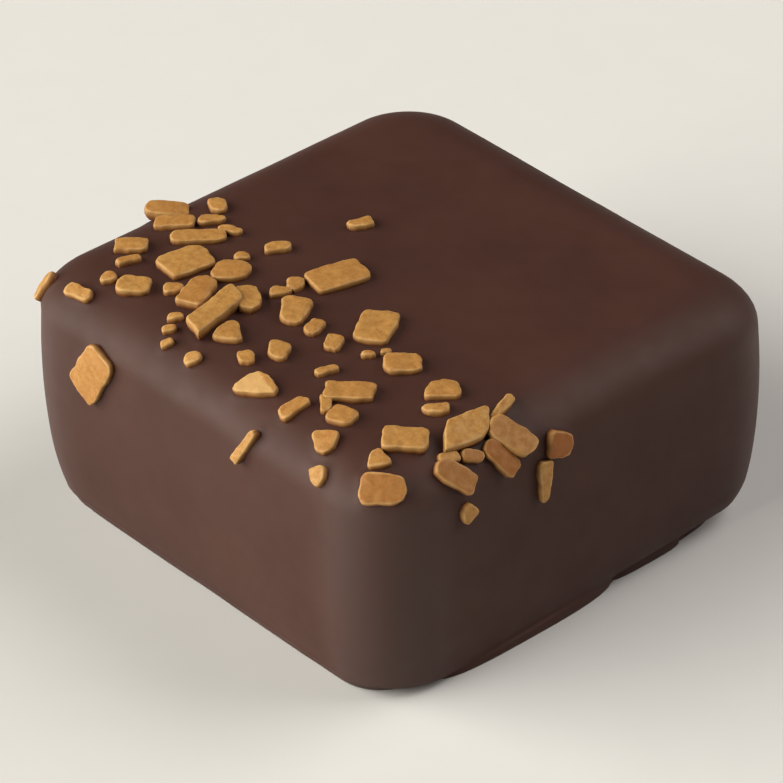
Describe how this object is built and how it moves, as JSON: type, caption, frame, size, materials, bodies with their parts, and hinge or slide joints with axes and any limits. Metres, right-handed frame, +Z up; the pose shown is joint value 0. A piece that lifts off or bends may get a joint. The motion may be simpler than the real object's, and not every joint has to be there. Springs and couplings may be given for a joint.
{
  "type": "salted caramel candy",
  "caption": "Square milk chocolate with rounded edges and a stepped foot, strewn along one side with broken caramel flakes.",
  "frame": {"origin": "middle of the base, on the surface that the candy stands on", "axes": "+Z up through the flat top, +X towards the wall whose foot is broken into lobes, -Y towards the plain wall below the flakes"},
  "size_m": [0.0297, 0.0284, 0.0143],
  "materials": {
    "chocolate": "satin milk chocolate",
    "caramel": "matte golden caramel"
  },
  "bodies": {
    "root": {"coated_square": "chocolate"}
  },
  "joints": []
}
